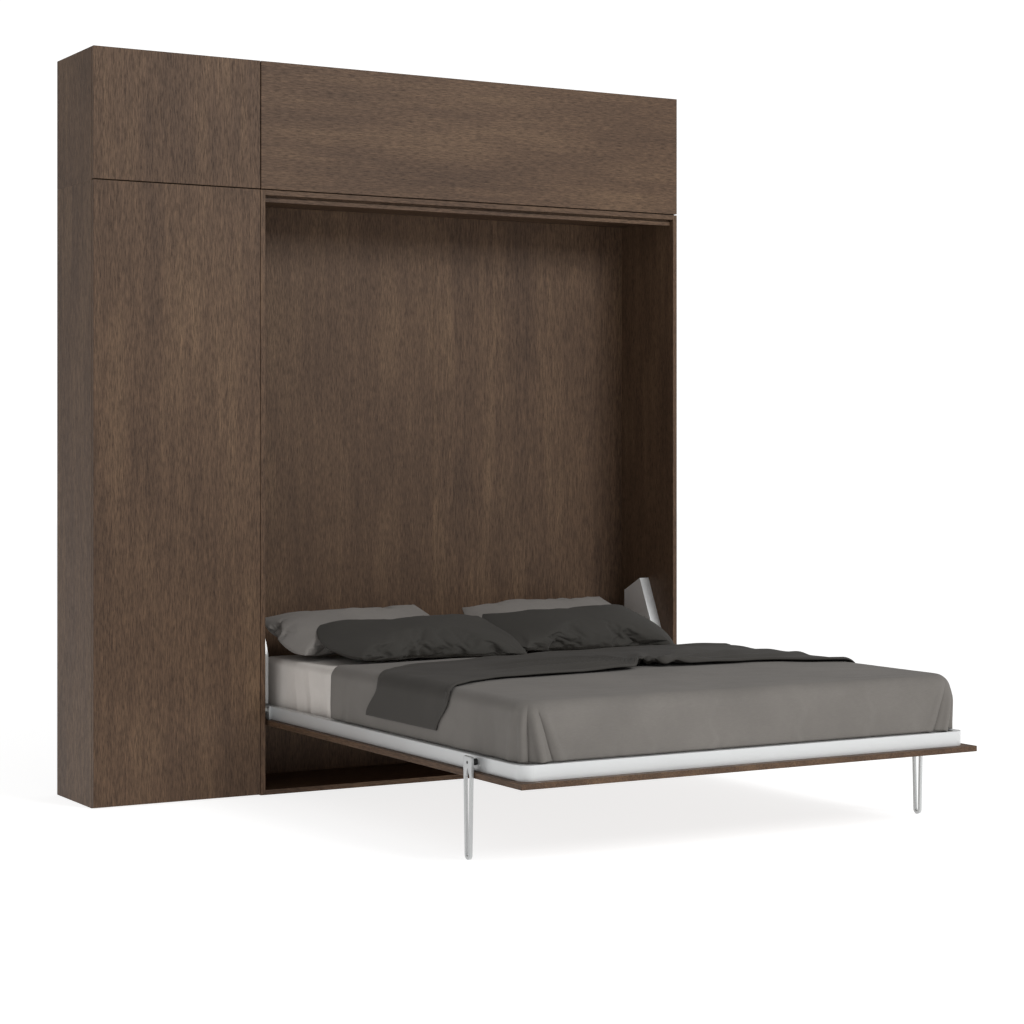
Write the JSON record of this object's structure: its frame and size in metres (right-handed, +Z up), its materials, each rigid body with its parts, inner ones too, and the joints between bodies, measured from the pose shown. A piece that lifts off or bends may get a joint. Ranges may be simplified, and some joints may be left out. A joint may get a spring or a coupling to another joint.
{
  "type": "murphy wall bed",
  "caption": "Wall bed that folds down from a tall wood-finish cabinet on pivots and gas springs, with folding legs, a mattress and bedding, a side column and an overhead cabinet.",
  "frame": {"origin": "on the floor under the middle of the whole object's box, with the bed folded down", "axes": "+X to the right as seen from the room, +Y towards the wall, +Z up"},
  "size_m": [2.392, 2.156, 2.6],
  "materials": {
    "wood": "dark oak melamine, embossed grain",
    "frame_paint": "silver-grey powder coat",
    "cover_paint": "grey powder coat on folded sheet",
    "zinc": "zinc plated",
    "nickel": "nickel plated",
    "rod_chrome": "hard chrome",
    "strut_black": "black paint",
    "nylon_black": "moulded nylon",
    "slat_wood": "clear lacquered beech",
    "sheet_cotton": "light grey percale",
    "duvet_cotton": "mid grey percale",
    "throw_fabric": "dark grey woven throw"
  },
  "bodies": {
    "cabinet": {"column_sides": "wood", "column_decks": "wood", "column_back": "wood", "column_shelves": "wood", "shelf_pins": "zinc", "upper_sides": "wood", "upper_decks": "wood", "upper_back": "wood", "bay_side_left": "wood", "bay_side_right": "wood", "bay_floor": "wood", "bay_top": "wood", "bay_back_left": "wood", "bay_back_right": "wood", "bay_stop_rail": "wood", "overhead_sides": "wood", "overhead_decks": "wood", "overhead_divider": "wood", "overhead_back": "wood", "wall_plates": "zinc", "door_hinge_arms": "zinc", "flap_hinge_arms": "zinc", "mech_plates": "zinc", "mech_bolts": "zinc", "mech_cover_left": "cover_paint", "mech_cover_right": "cover_paint", "pivot_pins": "zinc"},
    "bed": {"front_board_left": "wood", "front_board_right": "wood", "side_rail_left": "frame_paint", "side_rail_right": "frame_paint", "head_rail": "frame_paint", "foot_rail": "frame_paint", "centre_beam": "frame_paint", "slats": "slat_wood", "slat_caps": "nylon_black", "pivot_arms": "frame_paint", "pivot_bushes": "nylon_black", "leg_pivots": "nylon_black", "mattress": "sheet_cotton", "duvet": "duvet_cotton", "throw": "throw_fabric", "pillow_back_left": "duvet_cotton", "pillow_back_right": "duvet_cotton", "pillow_front_left": "throw_fabric", "pillow_front_right": "throw_fabric"},
    "leg_left": {"leg_left": "frame_paint"},
    "leg_right": {"leg_right": "frame_paint"},
    "gas_cylinders": {"gas_cylinders": "strut_black"},
    "gas_rods": {"gas_rods": "rod_chrome"},
    "column_door": {"column_door": "wood", "column_door_cups": "nickel"},
    "upper_door": {"upper_door": "wood", "upper_door_cups": "nickel"},
    "overhead_flap": {"overhead_flap": "wood", "overhead_flap_cups": "nickel", "flap_brackets": "zinc"},
    "stay_cylinders": {"stay_cylinders": "strut_black"},
    "stay_rods": {"stay_rods": "rod_chrome"}
  },
  "joints": [
    {"name": "bed_tilt", "type": "hinge", "parent": "cabinet", "child": "bed", "pos_m": [0.309, 0.75, 0.295], "axis": [-1, 0, 0], "range_deg": [0, 90], "deforming": ["pillow_back_left", "pillow_back_right", "pillow_front_left", "pillow_front_right"]},
    {"name": "leg_left_fold", "type": "hinge", "parent": "bed", "child": "leg_left", "pos_m": [-0.5525, -0.775, 0.291], "axis": [1, 0, 0], "range_deg": [0, 90]},
    {"name": "leg_right_fold", "type": "hinge", "parent": "bed", "child": "leg_right", "pos_m": [1.1705, -0.775, 0.291], "axis": [1, 0, 0], "range_deg": [0, 90]},
    {"name": "gas_cylinder_swing", "type": "hinge", "parent": "cabinet", "child": "gas_cylinders", "pos_m": [0.309, 0.9, 0.672], "axis": [-1, 0, 0], "range_deg": [0, 7.65]},
    {"name": "gas_rod_slide", "type": "slide", "parent": "gas_cylinders", "child": "gas_rods", "axis": [0, -0.1826, -0.9832], "range_m": [0, 0.09754]},
    {"name": "column_door_swing", "type": "hinge", "parent": "cabinet", "child": "column_door", "pos_m": [-1.196, 0.7, 1.072], "axis": [0, 0, -1], "range_deg": [0, 100]},
    {"name": "upper_door_swing", "type": "hinge", "parent": "cabinet", "child": "upper_door", "pos_m": [-1.196, 0.7, 2.374], "axis": [0, 0, -1], "range_deg": [0, 100]},
    {"name": "flap_lift", "type": "hinge", "parent": "cabinet", "child": "overhead_flap", "pos_m": [0.309, 0.7, 2.6], "axis": [-1, 0, 0], "range_deg": [0, 90]},
    {"name": "stay_cylinder_swing", "type": "hinge", "parent": "cabinet", "child": "stay_cylinders", "pos_m": [0.309, 1.03, 2.2], "axis": [1, 0, 0], "range_deg": [0, 6.76]},
    {"name": "stay_rod_slide", "type": "slide", "parent": "stay_cylinders", "child": "stay_rods", "axis": [0, -0.7096, 0.7046], "range_m": [0, 0.17392]}
  ],
  "couplings": [
    {"joint": "leg_left_fold", "follows": "bed_tilt", "ratio": 1},
    {"joint": "leg_right_fold", "follows": "bed_tilt", "ratio": 1},
    {"joint": "gas_cylinder_swing", "follows": "bed_tilt", "ratio": 0.085029},
    {"joint": "gas_rod_slide", "follows": "bed_tilt", "m_per_rad": 0.062098},
    {"joint": "stay_cylinder_swing", "follows": "flap_lift", "ratio": 0.075142},
    {"joint": "stay_rod_slide", "follows": "flap_lift", "m_per_rad": 0.11072}
  ]
}
